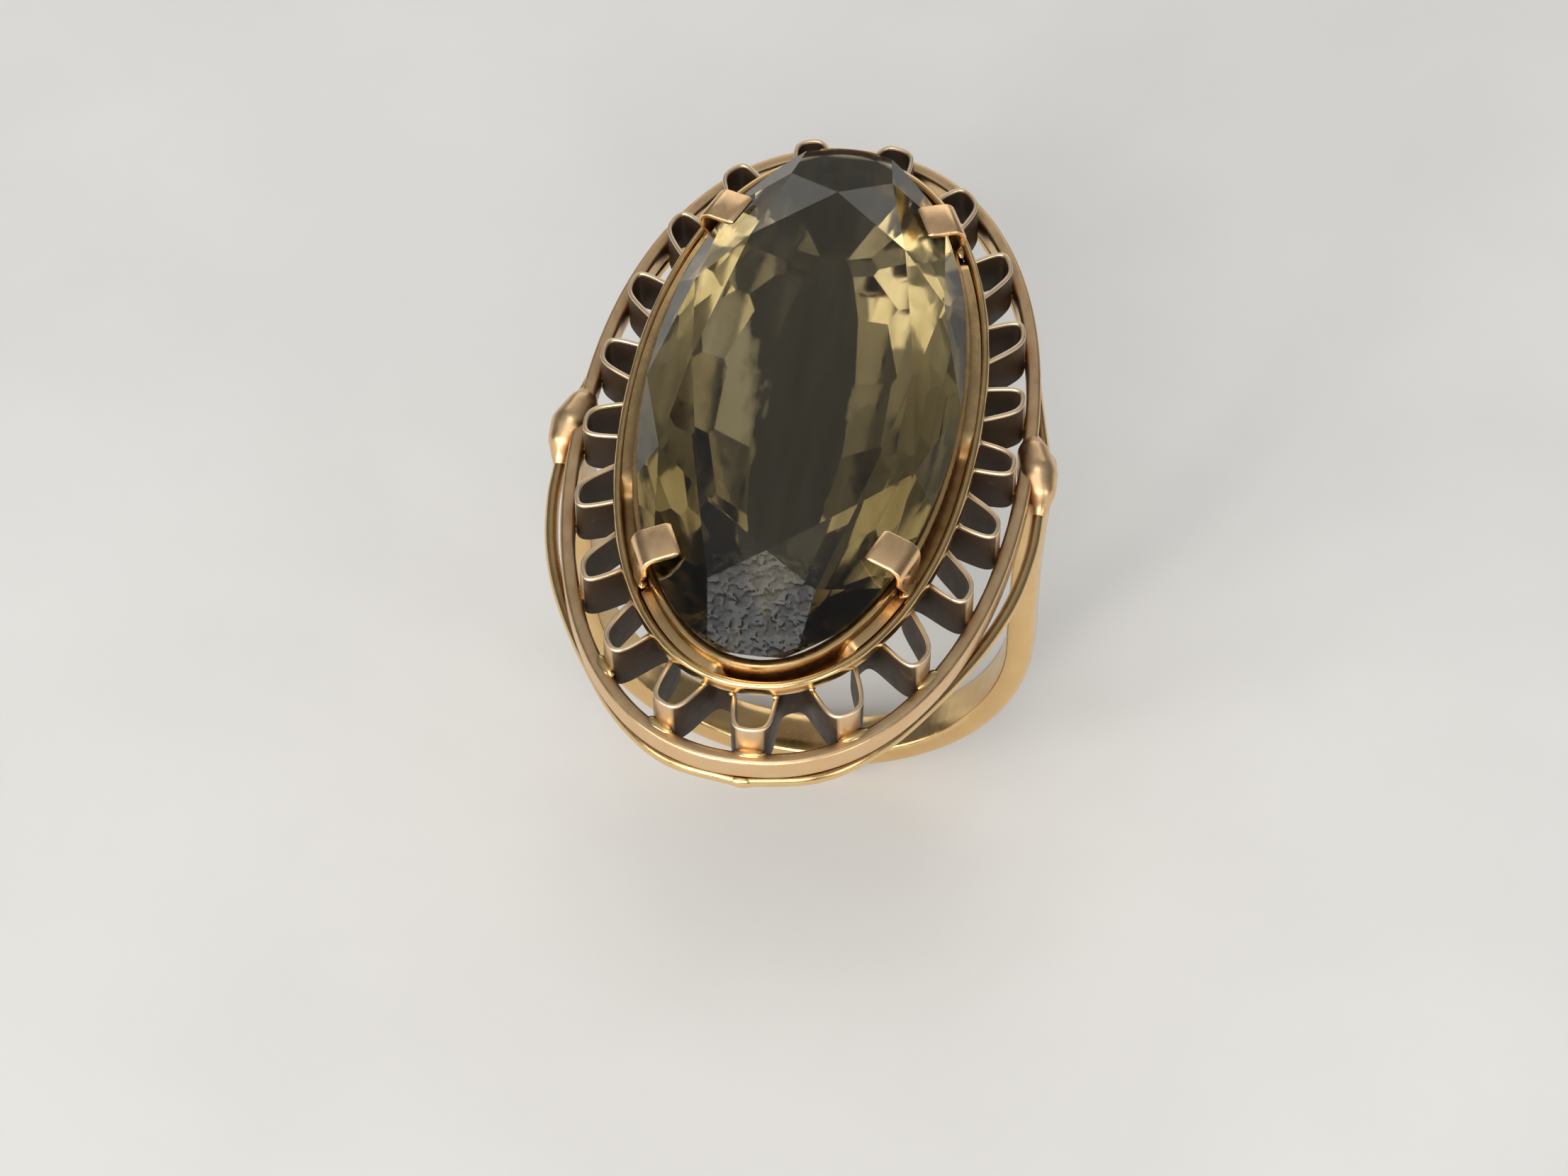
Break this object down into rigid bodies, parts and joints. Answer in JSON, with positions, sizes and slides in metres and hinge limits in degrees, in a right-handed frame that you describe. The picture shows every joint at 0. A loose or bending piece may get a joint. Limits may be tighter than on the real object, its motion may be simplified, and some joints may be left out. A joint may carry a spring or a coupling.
{
  "type": "cocktail ring",
  "caption": "Ring with a long oval faceted stone held by strap claws in a double-rimmed setting, raised on a corrugated ribbon gallery above an oval rail, on a D-section band.",
  "frame": {"origin": "centre of the finger hole, halfway across the band", "axes": "+Z from the finger hole up through the stone's table, +Y along the finger and along the head's length, +X across the finger"},
  "size_m": [0.0212, 0.0341, 0.0249],
  "materials": {
    "yellow_gold": "hand-polished yellow gold alloy, with soft wear",
    "rose_gold": "pinker gold alloy, lightly brushed",
    "quartz": "polished smoky quartz, olive brown"
  },
  "bodies": {
    "root": {"stone": "quartz", "bearing_rim": "yellow_gold", "collet_rim": "yellow_gold", "gallery_ribbon": "rose_gold", "base_rail": "yellow_gold", "shank": "yellow_gold", "shoulder_knuckle_left": "yellow_gold", "shoulder_knuckle_right": "yellow_gold", "claw_front_left": "rose_gold", "claw_rear_left": "rose_gold", "claw_front_right": "rose_gold", "claw_rear_right": "rose_gold", "shoulder_arm_front_left": "yellow_gold", "shoulder_arm_rear_left": "yellow_gold", "shoulder_arm_front_right": "yellow_gold", "shoulder_arm_rear_right": "yellow_gold"}
  },
  "joints": []
}
